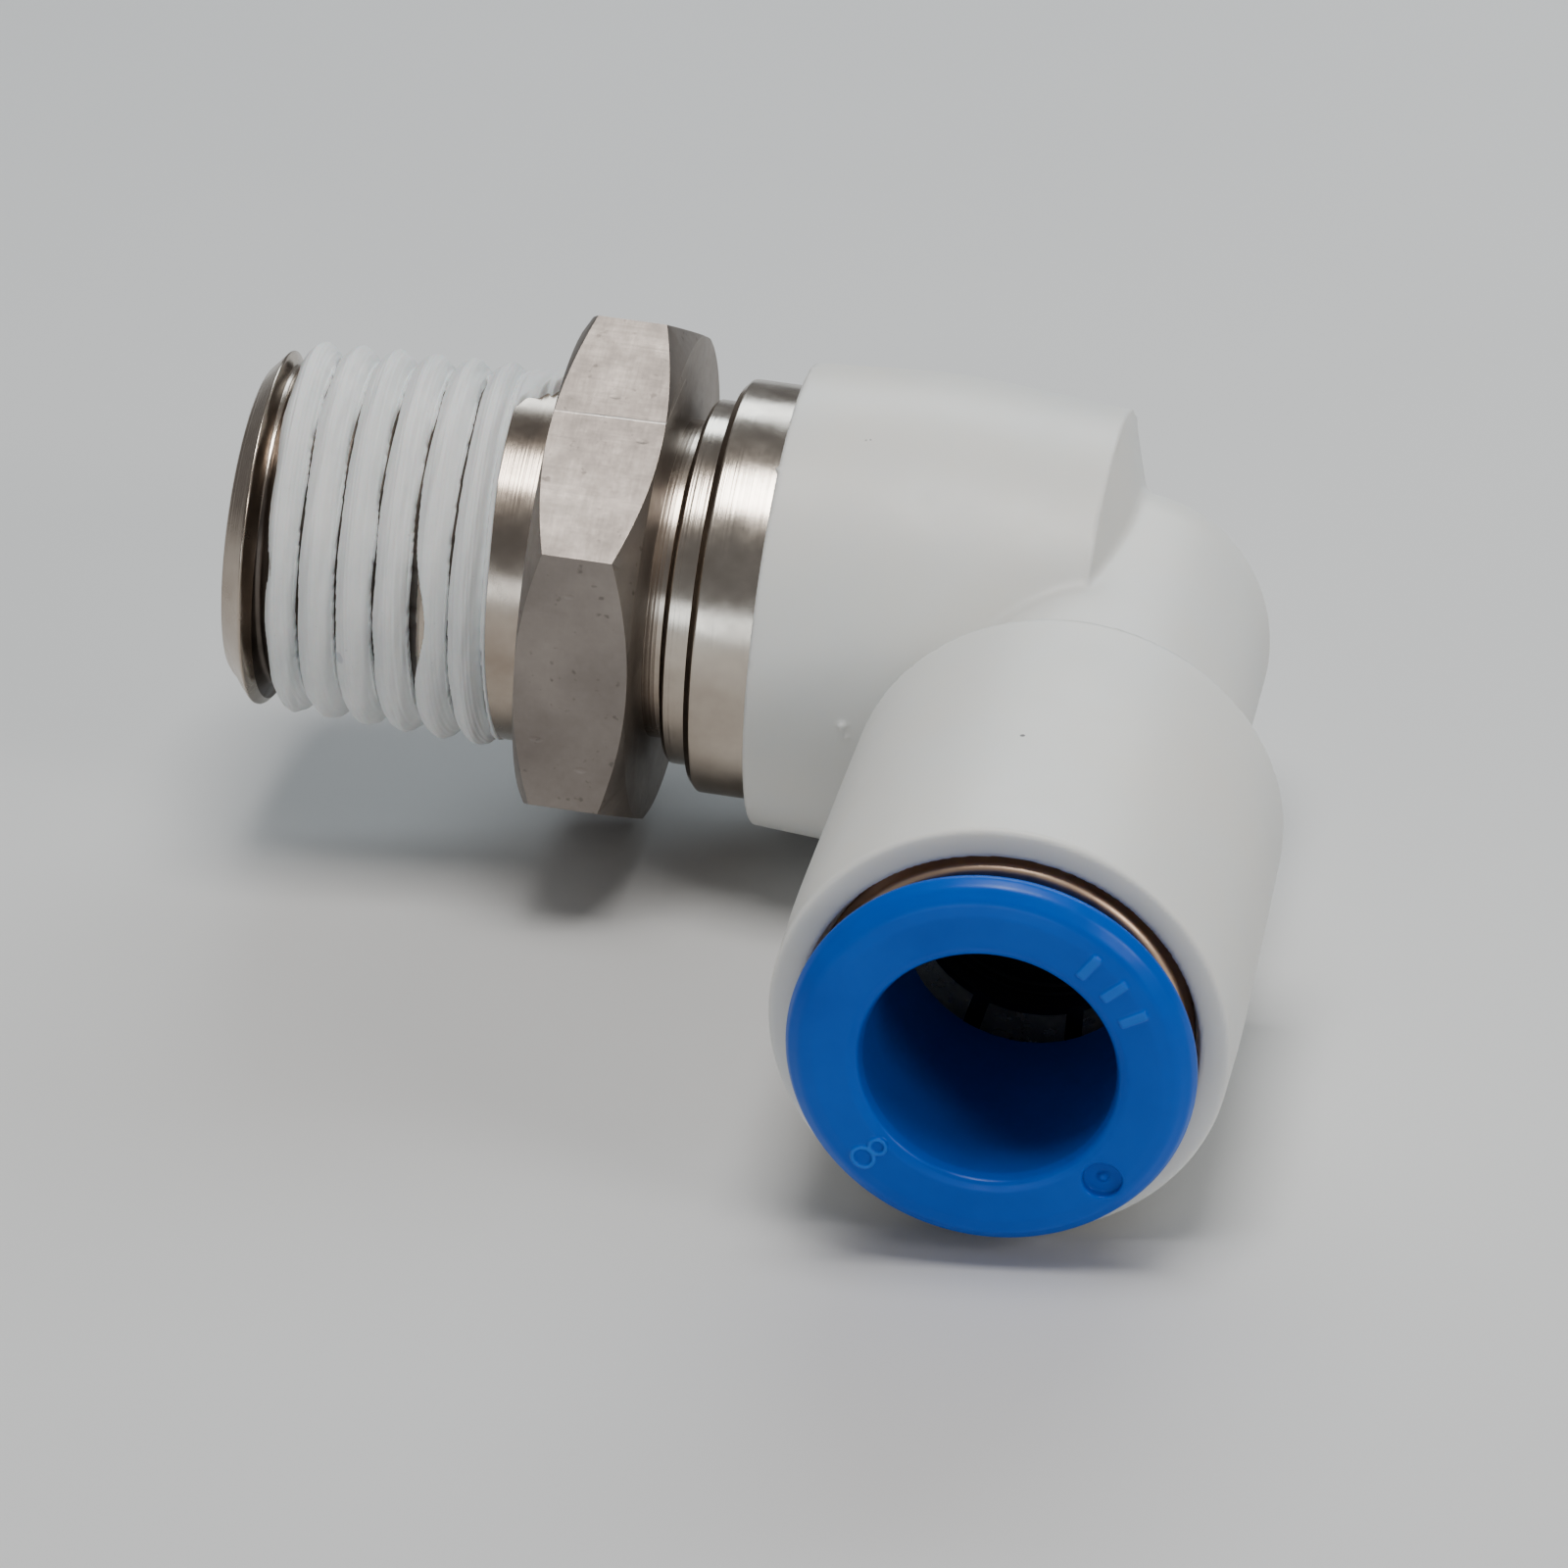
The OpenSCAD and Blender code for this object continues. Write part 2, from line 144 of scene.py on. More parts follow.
def rounded(points, radius, steps=6):
    """A closed outline with each corner replaced by an arc of the given radius."""
    pts = [np.array(p[:2], float) for p in points]
    radii = [p[2] if len(p) > 2 else radius for p in points]
    out = []
    for i, p in enumerate(pts):
        a, b = pts[i - 1] - p, pts[(i + 1) % len(pts)] - p
        la, lb = np.linalg.norm(a), np.linalg.norm(b)
        ua, ub = a / la, b / lb
        angle = math.acos(np.clip(ua @ ub, -1, 1))
        if radii[i] <= 0 or angle > math.radians(176):
            out.append(p)
            continue
        cut = min(radii[i] / math.tan(angle / 2), 0.48 * la, 0.48 * lb)
        r = cut * math.tan(angle / 2)
        mid = (ua + ub) / np.linalg.norm(ua + ub)
        centre = p + mid * r / math.sin(angle / 2)
        start, end = p + ua * cut - centre, p + ub * cut - centre
        sweep = math.atan2(start[0] * end[1] - start[1] * end[0], start @ end)
        for k in range(steps + 1):
            t = sweep * k / steps
            c, s = math.cos(t), math.sin(t)
            out.append(centre + np.array([c * start[0] - s * start[1], s * start[0] + c * start[1]]))
    return out


def to_axis(r, t, angle, axis):
    """Points from radius, distance and angle about the thread axis or the tube axis."""
    if axis == "x":
        return np.stack([t, r * np.cos(angle), r * np.sin(angle)], -1)
    return np.stack([KNEE_X + r * np.cos(angle), -t, r * np.sin(angle)], -1)


def grid_faces(rows, cols, wrap_rows, flip=False):
    """Quads of a rows by cols grid that closes round its columns."""
    i = np.arange(rows if wrap_rows else rows - 1)
    j = np.arange(cols)
    ii, jj = np.meshgrid(i, j, indexing="ij")
    a, b = ii * cols + jj, ii * cols + (jj + 1) % cols
    c, d = ((ii + 1) % rows) * cols + (jj + 1) % cols, ((ii + 1) % rows) * cols + jj
    quads = np.stack([a, b, c, d], -1).reshape(-1, 4)
    return quads[:, ::-1] if flip else quads


def outward(obj):
    """Point every face of a closed mesh outwards."""
    bm = bmesh.new()
    bm.from_mesh(obj.data)
    bmesh.ops.recalc_face_normals(bm, faces=bm.faces)
    bm.to_mesh(obj.data)
    bm.free()


def lathe(name, outline, axis, body, material, replaces=(), segments=SEGMENTS):
    """Revolve a closed outline of (radius, distance) points."""
    outline = np.array(outline)
    angles = np.linspace(0, 2 * np.pi, segments, endpoint=False)
    r, t = outline[:, 0][:, None], outline[:, 1][:, None]
    verts = to_axis(r + 0 * angles, t + 0 * angles, angles + 0 * r, axis).reshape(-1, 3)
    obj = make_object(name, verts, grid_faces(len(outline), segments, True), body, material, replaces)
    outward(obj)
    return obj


def wave(angle, seed, count=6, low=1):
    """Smooth closed random wave around a turn, about -1 to 1."""
    rng = np.random.default_rng(seed)
    total = np.zeros_like(angle)
    for k in range(low, low + count):
        total += rng.normal() / math.sqrt(count) * np.sin(k * angle + rng.uniform(0, 2 * np.pi))
    return total


# ---------------------------------------------------------------- implicit solids

class Profile:
    """Signed distance to a closed outline of (radius, distance) points, read from a fine table."""

    def __init__(self, points, step=0.025, margin=1.5):
        self.points = np.array([p[:2] for p in points], float)
        self.step = step
        self.lo = np.array([-step, self.points[:, 1].min() - margin])
        self.hi = self.points.max(0) + margin
        n = np.ceil((self.hi - self.lo) / step).astype(int) + 2
        r = self.lo[0] + step * np.arange(n[0])
        t = self.lo[1] + step * np.arange(n[1])
        self.table = self.exact(*np.meshgrid(r, t, indexing="ij")).astype(np.float32)
        self.size = n

    def exact(self, r, t):
        best = np.full(r.shape, 1e9)
        inside = np.zeros(r.shape, bool)
        for a, b in zip(self.points, np.roll(self.points, -1, 0)):
            e = b - a
            wr, wt = r - a[0], t - a[1]
            k = np.clip((wr * e[0] + wt * e[1]) / max(e @ e, 1e-12), 0, 1)
            if not (a[0] <= 1e-6 and b[0] <= 1e-6):
                best = np.minimum(best, (wr - k * e[0]) ** 2 + (wt - k * e[1]) ** 2)
            crosses = (a[1] > t) != (b[1] > t)
            with np.errstate(divide="ignore", invalid="ignore"):
                inside ^= crosses & (r < e[0] * (t - a[1]) / (e[1] if e[1] else 1e-12) + a[0])
        return np.where(inside, -1, 1) * np.sqrt(best)

    def __call__(self, r, t):
        u = np.clip((r - self.lo[0]) / self.step, 0, self.size[0] - 1.001)
        v = np.clip((t - self.lo[1]) / self.step, 0, self.size[1] - 1.001)
        i, j = u.astype(np.int32), v.astype(np.int32)
        fu, fv = (u - i).astype(np.float32), (v - j).astype(np.float32)
        tab = self.table
        return ((tab[i, j] * (1 - fu) + tab[i + 1, j] * fu) * (1 - fv)
                + (tab[i, j + 1] * (1 - fu) + tab[i + 1, j + 1] * fu) * fv)


def blend_min(a, b, k):
    h = np.clip(0.5 + 0.5 * (b - a) / k, 0, 1)
    return b + (a - b) * h - k * h * (1 - h)


def blend_max(a, b, k):
    return -blend_min(-a, -b, k)


def radius_x(p):
    return np.hypot(p[1], p[2])


def radius_tube(p):
    return np.hypot(p[0] - KNEE_X, p[2])


CORNERS = [(i, j, k) for i in (0, 1) for j in (0, 1) for k in (0, 1)]


def surface_of(shape, lo, hi, step):
    """Quad mesh of shape(p) = 0 by surface nets, with its points pulled on to the surface."""
    axes = [np.arange(lo[i], hi[i] + step, step, dtype=np.float32) for i in range(3)]
    n = [len(a) for a in axes]
    field = np.empty(n, np.float32)
    slab = 24
    for s in range(0, n[0], slab):
        p = np.meshgrid(axes[0][s:s + slab], axes[1], axes[2], indexing="ij")
        field[s:s + slab] = shape(p)
    inside = field < 0
    count = sum(inside[i:n[0] - 1 + i, j:n[1] - 1 + j, k:n[2] - 1 + k].astype(np.int8) for i, j, k in CORNERS)
    cells = np.argwhere((count > 0) & (count < 8))
    number = np.full([m - 1 for m in n], -1, np.int32)
    number[tuple(cells.T)] = np.arange(len(cells))
    total = np.zeros((len(cells), 3))
    hits = np.zeros(len(cells))
    for a in CORNERS:
        for axis in range(3):
            if a[axis]:
                continue
            b = list(a)
            b[axis] = 1
            fa = field[tuple((cells + a).T)]
            fb = field[tuple((cells + b).T)]
            cut = (fa < 0) != (fb < 0)
            w = fa[cut] / (fa[cut] - fb[cut])
            at = cells[cut] + np.array(a, float)
            at[:, axis] += w
            total[cut] += at
            hits[cut] += 1
    points = total / hits[:, None] * step + np.array([a[0] for a in axes])
    quads = []
    for axis in range(3):
        u, v = [d for d in range(3) if d != axis]
        a = [slice(1, -1)] * 3
        a[axis] = slice(0, -1)
        b = list(a)
        b[axis] = slice(1, None)
        first, second = inside[tuple(a)], inside[tuple(b)]
        where = np.argwhere(first != second)
        sign = first[tuple(where.T)]
        base = where.copy()
        base[:, [u, v]] += 1
        ring = []
        for du, dv in ((-1, -1), (0, -1), (0, 0), (-1, 0)):
            c = base.copy()
            c[:, u] += du
            c[:, v] += dv
            ring.append(number[tuple(c.T)])
        q = np.stack(ring, -1)
        turn = sign if axis != 1 else ~sign
        q[~turn] = q[~turn][:, ::-1]
        quads.append(q)
    faces = np.concatenate(quads)
    faces = faces[(faces >= 0).all(1)]
    for _ in range(4):
        p = [points[:, i] for i in range(3)]
        f = shape(p)
        grad = np.stack([(shape([q + (0.02 if i == d else 0) for i, q in enumerate(p)]) - f) / 0.02
                         for d in range(3)], -1)
        size = np.maximum((grad ** 2).sum(1), 0.2)
        move = -f[:, None] * grad / size[:, None]
        points = points + np.clip(move, -0.5 * step, 0.5 * step)
    return points, faces


# ---------------------------------------------------------------- node materials

class Nodes:
    """Small helper for building a node material."""

    def __init__(self, name):
        self.mat = bpy.data.materials.new(name)
        self.mat.use_nodes = True
        self.tree = self.mat.node_tree
        self.shader = self.tree.nodes["Principled BSDF"]
        self.coords = self.tree.nodes.new("ShaderNodeTexCoord").outputs["Object"]

    def node(self, kind, inputs=None, **settings):
        n = self.tree.nodes.new(kind)
        for key, value in settings.items():
            setattr(n, key, value)
        for key, value in (inputs or {}).items():
            if isinstance(value, bpy.types.NodeSocket):
                self.tree.links.new(value, n.inputs[key])
            else:
                n.inputs[key].default_value = value
        return n

    def noise(self, scale, detail=4, roughness=0.55, vector=None, **extra):
        return self.node("ShaderNodeTexNoise", {"Vector": vector or self.coords, "Scale": scale,
                         "Detail": detail, "Roughness": roughness, **extra}).outputs["Fac"]

    def stretch(self, x, y, z):
        return self.node("ShaderNodeMapping", {"Vector": self.coords, "Scale": (x, y, z)}).outputs[0]

    def math(self, operation, a, b=0.0, c=0.0):
        n = self.node("ShaderNodeMath", {0: a, 1: b}, operation=operation)
        if operation in ("MULTIPLY_ADD", "SMOOTH_MIN", "COMPARE"):
            n.inputs[2].default_value = c
        return n.outputs[0]

    def axis(self, index):
        """One object coordinate, in metres."""
        return self.node("ShaderNodeSeparateXYZ", {0: self.coords}).outputs[index]

    def near(self, value, centre, half):
        """1 where value is centre, falling to 0 at half away from it."""
        away = self.math("ABSOLUTE", self.math("SUBTRACT", value, centre))
        return self.math("MAXIMUM", self.math("SUBTRACT", 1.0, self.math("DIVIDE", away, half)), 0.0)

    def spot(self, point_mm, radius_mm):
        """1 inside a small round mark at a point, with a soft edge."""
        centre = tuple(c * MM for c in point_mm)
        away = self.node("ShaderNodeVectorMath", {0: self.coords, 1: centre}, operation="DISTANCE")
        share = self.math("DIVIDE", away.outputs["Value"], radius_mm * MM)
        return self.grey_ramp(share, [(0.7, 1.0), (1.0, 0.0)])

    def ramp(self, value, stops):
        n = self.node("ShaderNodeValToRGB", {"Fac": value})
        ramp = n.color_ramp
        while len(ramp.elements) < len(stops):
            ramp.elements.new(0.5)
        for element, (place, colour) in zip(ramp.elements, stops):
            element.position = place
            element.color = (*colour, 1) if len(colour) == 3 else colour
        return n.outputs["Color"]

    def grey_ramp(self, value, stops):
        return self.ramp(value, [(p, (g, g, g)) for p, g in stops])

    def mix(self, factor, a, b, blend="MIX"):
        n = self.tree.nodes.new("ShaderNodeMix")
        n.data_type = "RGBA"
        n.blend_type = blend
        for socket, value in (("Factor", factor), ("A", a), ("B", b)):
            target = n.inputs[{"Factor": 0, "A": 6, "B": 7}[socket]]
            if isinstance(value, bpy.types.NodeSocket):
                self.tree.links.new(value, target)
            else:
                target.default_value = value if socket == "Factor" else (*value, 1)
        return n.outputs[2]

    def bump(self, layers):
        """layers: (height, strength, distance in metres), from the coarsest."""
        normal = None
        for height, strength, distance in layers:
            inputs = {"Height": height, "Strength": strength, "Distance": distance}
            if normal is not None:
                inputs["Normal"] = normal
            normal = self.node("ShaderNodeBump", inputs).outputs[0]
        self.tree.links.new(normal, self.shader.inputs["Normal"])

    def set(self, **values):
        for key, value in values.items():
            socket = self.shader.inputs[key.replace("_", " ")]
            if isinstance(value, bpy.types.NodeSocket):
                self.tree.links.new(value, socket)
            else:
                socket.default_value = value
        return self.mat


def turned_metal(name, light, dark, roughness, groove=0.00002):
    """Plated turned metal with fine rings about the thread axis."""
    n = Nodes(name)
    sep = n.node("ShaderNodeSeparateXYZ", {0: n.coords})
    squares = n.math("ADD", n.math("POWER", sep.outputs[1], 2), n.math("POWER", sep.outputs[2], 2))
    radial = n.math("SQRT", squares)
    along = n.math("MULTIPLY_ADD", radial, 0.6, 0.0)
    along = n.math("ADD", along, sep.outputs[0])
    rings = n.node("ShaderNodeTexNoise", {"W": along, "Scale": 9000.0, "Detail": 3.0},
                   noise_dimensions="1D").outputs["Fac"]
    broad = n.node("ShaderNodeTexNoise", {"W": along, "Scale": 1500.0, "Detail": 2.0},
                   noise_dimensions="1D").outputs["Fac"]
    stain = n.noise(220, 5, 0.6)
    colour = n.ramp(stain, [(0.3, dark), (0.62, light)])
    wear = n.grey_ramp(n.noise(700, 4, 0.6), [(0.35, roughness * 0.8), (0.7, roughness * 1.35)])
    n.bump([(broad, 0.25, groove * 2), (rings, 0.35, groove)])
    return n.set(Base_Color=colour, Metallic=1.0, Roughness=wear)


def milled_metal():
    """Hexagon flats: duller, mottled, with fine cross scratches, small nicks and one long scratch."""
    n = Nodes("hexagon_metal")
    grain = n.noise(900, 6, 0.65)
    scratch_a = n.noise(1.0, 2, 0.5, vector=n.stretch(260, 5200, 5200))
    scratch_b = n.noise(1.0, 2, 0.5, vector=n.stretch(4200, 420, 900))
    nick = n.node("ShaderNodeTexVoronoi", {"Vector": n.stretch(420, 900, 900), "Scale": 1.0,
                  "Randomness": 1.0}, feature="F1").outputs["Distance"]
    nicks = n.grey_ramp(nick, [(0.05, 0.0), (0.11, 1.0)])
    patch = n.noise(230, 5, 0.62)
    colour = n.ramp(patch, [(0.32, (0.27, 0.24, 0.22)), (0.5, (0.33, 0.295, 0.27)),
                            (0.7, (0.40, 0.36, 0.33))])
    specks = n.grey_ramp(n.noise(2600, 2, 0.5), [(0.66, 0.0), (0.74, 0.45)])
    colour = n.mix(specks, colour, (0.13, 0.115, 0.105))
    tilted = n.math("SUBTRACT", n.axis(2), n.math("MULTIPLY", n.axis(0), 0.009))
    line = n.math("MULTIPLY", n.near(tilted, 0.00779, 0.00003), n.math("LESS_THAN", n.axis(1), 0.0))
    line = n.math("MULTIPLY", line, n.grey_ramp(n.noise(1500, 2), [(0.35, 0.2), (0.6, 1.0)]))
    colour = n.mix(line, colour, (0.86, 0.82, 0.78))
    rough = n.grey_ramp(grain, [(0.3, 0.40), (0.75, 0.58)])
    n.bump([(patch, 0.15, 0.0001), (scratch_a, 0.22, 0.00003), (scratch_b, 0.3, 0.00003),
            (nicks, 0.35, 0.00004), (line, 0.5, 0.00003)])
    return n.set(Base_Color=colour, Metallic=1.0, Roughness=rough)


def sealant_coat():
    n = Nodes("sealant_coat")
    tone = n.noise(420, 5, 0.6)
    colour = n.ramp(tone, [(0.25, (0.71, 0.73, 0.73)), (0.7, (0.81, 0.815, 0.81))])
    speck = n.grey_ramp(n.noise(5200, 2, 0.5), [(0.72, 0.0), (0.78, 0.4)])
    colour = n.mix(speck, colour, (0.55, 0.55, 0.54))
    # A small bluish-grey spot on a crest at the lower front of the coat.
    blue_grey_spot = n.spot((-6.55, -6.2, -1.5), 0.28)
    colour = n.mix(n.math("MULTIPLY", blue_grey_spot, 0.45), colour, (0.42, 0.45, 0.50))
    n.bump([(n.noise(700, 4, 0.6), 0.3, 0.00008), (n.noise(4200, 4, 0.7), 0.35, 0.00002)])
    return n.set(Base_Color=colour, Roughness=0.60, Subsurface_Weight=0.12, Subsurface_Scale=0.0006,
                 Specular_IOR_Level=0.4)


def moulded_plastic(name, base, marks=()):
    """Moulded plastic with faint clouding and a few small marks."""
    n = Nodes(name)
    cloud = n.noise(130, 4, 0.55)
    warm = tuple(c * k for c, k in zip(base, (1.0, 0.985, 0.96)))
    cool = tuple(c * k for c, k in zip(base, (0.965, 0.985, 1.0)))
    colour = n.ramp(cloud, [(0.3, warm), (0.7, cool)])
    for point, radius, strength in marks:
        spot = n.math("MULTIPLY", n.spot(point, radius), strength)
        colour = n.mix(spot, colour, (0.13, 0.12, 0.12))
    n.bump([(n.noise(260, 3, 0.5), 0.10, 0.0003), (n.noise(5200, 4, 0.6), 0.14, 0.00001)])
    rough = n.grey_ramp(n.noise(500, 4, 0.6), [(0.3, 0.36), (0.75, 0.48)])
    return n.set(Base_Color=colour, Roughness=rough, Subsurface_Weight=0.3, Subsurface_Scale=0.0010,
                 Subsurface_Radius=(1.0, 0.9, 0.75), Specular_IOR_Level=0.45)


def moulded_blue():
    """Blue moulded plastic, with a painted highlight that makes the tops of the raised marks on the front face
    paler.
    """
    n = Nodes("button_blue")
    cloud = n.noise(240, 4, 0.55)
    colour = n.ramp(cloud, [(0.3, (0.003, 0.100, 0.50)), (0.7, (0.005, 0.125, 0.58))])
    # Painted highlight: the tops of the raised marks are made paler blue.
    marks_painted_highlight = n.math("MULTIPLY", n.near(n.axis(1), -(FRONT_T + 0.10) * MM, 0.085 * MM), 0.8)
    colour = n.mix(marks_painted_highlight, colour, (0.04, 0.24, 0.75))
    rough = n.grey_ramp(n.noise(900, 4, 0.6), [(0.3, 0.30), (0.75, 0.42)])
    n.bump([(n.noise(420, 3, 0.5), 0.15, 0.0001), (n.noise(6000, 3, 0.6), 0.15, 0.000008)])
    return n.set(Base_Color=colour, Roughness=rough, Subsurface_Weight=0.12, Subsurface_Scale=0.0005,
                 Subsurface_Radius=(0.1, 0.35, 1.0), Specular_IOR_Level=0.45)


def black_rubber():
    n = Nodes("rubber")
    colour = n.ramp(n.noise(500, 4), [(0.3, (0.012, 0.012, 0.013)), (0.7, (0.03, 0.03, 0.03))])
    n.bump([(n.noise(2500, 4), 0.3, 0.00002)])
    return n.set(Base_Color=colour, Roughness=0.55)


def spring_steel(name, light, dark, smooth=0.20, rough=0.32):
    n = Nodes(name)
    colour = n.ramp(n.noise(400, 4), [(0.3, dark), (0.7, light)])
    wear = n.grey_ramp(n.noise(1800, 4), [(0.3, smooth), (0.75, rough)])
    n.bump([(n.noise(1.0, 2, 0.5, vector=n.stretch(5000, 500, 5000)), 0.25, 0.00001)])
    return n.set(Base_Color=colour, Metallic=1.0, Roughness=wear)


def pale_floor():
    n = Nodes("floor")
    colour = n.ramp(n.noise(14, 5), [(0.3, (0.70, 0.70, 0.70)), (0.7, (0.74, 0.74, 0.735))])
    n.bump([(n.noise(1500, 3), 0.1, 0.00005)])
    return n.set(Base_Color=colour, Roughness=0.7)


PLATE = turned_metal("plated_metal", (0.60, 0.53, 0.46), (0.42, 0.355, 0.30), 0.22)
PLATE_COLLAR = turned_metal("collar_metal", (0.64, 0.58, 0.51), (0.47, 0.41, 0.355), 0.20)
HEX_METAL = milled_metal()
# Dark metal for the thread grooves: painted shade in the thin open lines of the sealant.
GROOVE_SHADE_METAL = turned_metal("groove_metal_painted_shade", (0.20, 0.17, 0.15), (0.09, 0.08, 0.07), 0.40)
COAT = sealant_coat()
# Specks on the elbow: place and radius in mm, and strength.
BODY_MARKS = [((18.951, -20.579, 7.45), 0.10, 0.85), ((10.72, -2.70, 7.86), 0.05, 0.4),
              ((10.87, -2.66, 7.87), 0.05, 0.5), ((11.02, -2.60, 7.88), 0.04, 0.35)]
WHITE = moulded_plastic("body_white", (0.80, 0.795, 0.77), BODY_MARKS)
# Near black for the back ring and collet: painted shade of the deep port, not the parts' own colour.
INNER_PAINTED_SHADE = moulded_plastic("inner_painted_shade", (0.035, 0.035, 0.038))
BLUE = moulded_blue()
RUBBER = black_rubber()
STEEL = spring_steel("stainless", (0.74, 0.75, 0.77), (0.55, 0.56, 0.58))
BRONZE = spring_steel("guide_bronze", (0.86, 0.66, 0.50), (0.70, 0.50, 0.37), 0.34, 0.46)


# ---------------------------------------------------------------- stud and thread

PITCH = 1.337
CREST_ANGLE = math.radians(60)
FIRST_CREST_X = TIP_X + 1.6
GAUGE_X = TIP_X + 5.6
GAUGE_R = 13.157 / 2
THREAD_DEPTH = 0.76
CHAMFER_R, CHAMFER_SLOPE = 5.46, 1.15
CREST_COUNT = 5
SLIT_PHASE = 0.585
BARE_SLIT, BARE_ANGLE = 3, math.radians(178)


def thread_phase(x, angle):
    """0 at a crest and 0.5 in a groove, growing by 1 per turn of a right-hand thread."""
    return (x - FIRST_CREST_X) / PITCH - (angle - CREST_ANGLE) / (2 * math.pi)


def drift(angle):
    """How far the ends of the coat move along the axis with the thread."""
    return 0.25 * PITCH * (1 - np.cos(angle - CREST_ANGLE))


def coat_ends(angle):
    start = FIRST_CREST_X - 0.235 * PITCH + drift(angle) + 0.04 * wave(angle, 21, 9, 3)
    end = FIRST_CREST_X + (CREST_COUNT + SLIT_PHASE) * PITCH + drift(angle) + 0.04 * wave(angle, 23, 7, 2)
    return start, end


def crest_radius(x):
    return GAUGE_R + (x - GAUGE_X) / 32


def metal_radius(x, angle):
    """Radius of the metal thread, from the end chamfer to the neck."""
    phase = thread_phase(x, angle)
    away = np.abs(phase - np.round(phase)) * 2
    form = np.clip((away - 0.12) / 0.76, 0, 1)
    form = form * form * (3 - 2 * form) * 0.4 + form * 0.6
    r = crest_radius(x) - THREAD_DEPTH * form
    chamfer = CHAMFER_R + (x - TIP_X - 0.06) * CHAMFER_SLOPE
    r = blend_min(r, chamfer, 0.06)
    start, end = coat_ends(angle)
    neck = np.clip((x - end + 0.3) / 0.28, 0, 1)
    return r * (1 - neck) + NECK_R * neck


def smear_radius(x, angle):
    """Sealant wiped over the top of the neck; below the metal where there is none."""
    turn = np.degrees(np.mod(angle, 2 * math.pi))
    edge = 93 - 9 * (x + 1.3) + 1.6 * wave(angle + 2 * x, 31, 6, 4)
    inside = np.clip((edge - turn) / 4, 0, 1) * np.clip((turn - 26) / 8, 0, 1)
    rise = np.clip((x + 1.65) / 0.8, 0, 1)
    thick = 0.13 + 0.24 * rise * rise * (3 - 2 * rise) + 0.018 * wave(angle + x, 33, 7, 3)
    return NECK_R - 0.15 + (thick + 0.15) * np.sqrt(inside)


def coat_radius(x, angle):
    """Outer radius of the sealant: rounded crests, a thin open line in each groove, and ragged ends."""
    phase = thread_phase(x, angle)
    metal = metal_radius(x, angle)
    away = np.abs(phase - np.round(phase)) * 2
    lumps = 0.016 * wave(angle + 2.1 * x, 3, 9, 2) + 0.012 * wave(angle - 3.0 * x, 5, 14, 5)
    r = crest_radius(x) + 0.05 - 0.58 * away ** 1.75 + lumps
    start, end = coat_ends(angle)
    body_end = np.clip((x - end + 0.45) / 0.3, 0, 1)
    r = np.maximum(r, (NECK_R + 0.05) * body_end)
    turn = np.floor(phase - SLIT_PHASE + 0.5)
    side = phase - SLIT_PHASE - turn - 0.022 * wave(angle + 1.7 * turn, 11, 9, 2)
    half = 0.056 + 0.016 * wave(angle + 2.3 * turn, 13, 12, 3)
    spread = (np.mod(angle - BARE_ANGLE + math.pi, 2 * math.pi) - math.pi) / math.radians(17)
    patch = 0.45 * np.exp(-spread ** 2) * (turn == BARE_SLIT)
    open_line = np.clip((half + side) / 0.02, 0, 1) * np.clip((half + patch - side) / 0.02, 0, 1)
    r = r - 1.2 * open_line * (x < end - 0.1)
    lip = np.clip((start + 0.3 - x) / 0.3, 0, 1)
    r = r - 0.16 * lip ** 2 - np.clip((start - x) / 0.06, 0, 1) * 1.6
    tail = np.clip((x - end) / 0.09, 0, 1)
    r = r * (1 - tail) + smear_radius(x, angle) * tail
    return np.maximum(r, metal - 0.12)


def skin_of_radius(radius, x0, x1, step, segments=400):
    """Grid of points on a surface given by radius(x, angle), with rows along the axis."""
    x = np.arange(x0, x1 + step / 2, step)
    angle = np.linspace(0, 2 * np.pi, segments, endpoint=False)
    xx, aa = np.meshgrid(x, angle, indexing="ij")
    rr = radius(xx, aa)
    return to_axis(rr, xx, aa, "x").reshape(-1, 3), len(x), segments


def close_ends(verts, rows, cols, inner_r, x0, x1):
    """Close a sleeve of rows by cols points with an inner wall."""
    angle = np.linspace(0, 2 * np.pi, cols, endpoint=False)
    back = to_axis(np.full(cols, inner_r), np.full(cols, x1), angle, "x")
    front = to_axis(np.full(cols, inner_r), np.full(cols, x0), angle, "x")
    return np.concatenate([verts, back, front]), rows + 2


def make_thread():
    x0, x1 = TIP_X + 0.03, 0.3
    verts, rows, cols = skin_of_radius(metal_radius, x0, x1, 0.045, 320)
    verts, rows = close_ends(verts, rows, cols, 4.6, x0, x1)
    metal = make_object("stud_thread", verts, grid_faces(rows, cols, True), "stud",
                        (PLATE, GROOVE_SHADE_METAL))
    outward(metal)
    # Faces down in the grooves take the dark groove metal, as painted shade.
    for face in metal.data.polygons:
        in_groove = math.hypot(face.center.y, face.center.z) < (NECK_R - 0.05) * MM
        face.material_index = int(in_groove and face.center.x > (TIP_X + 1.2) * MM)
    x0, x1 = TIP_X + 1.0, -0.02
    verts, rows, cols = skin_of_radius(coat_radius, x0, x1, 0.028, 480)
    verts, rows = close_ends(verts, rows, cols, 5.0, x0, x1)
    coat = make_object("sealant_skin", verts, grid_faces(rows, cols, True), "stud",
                       COAT, ("thread_sealant",))
    outward(coat)


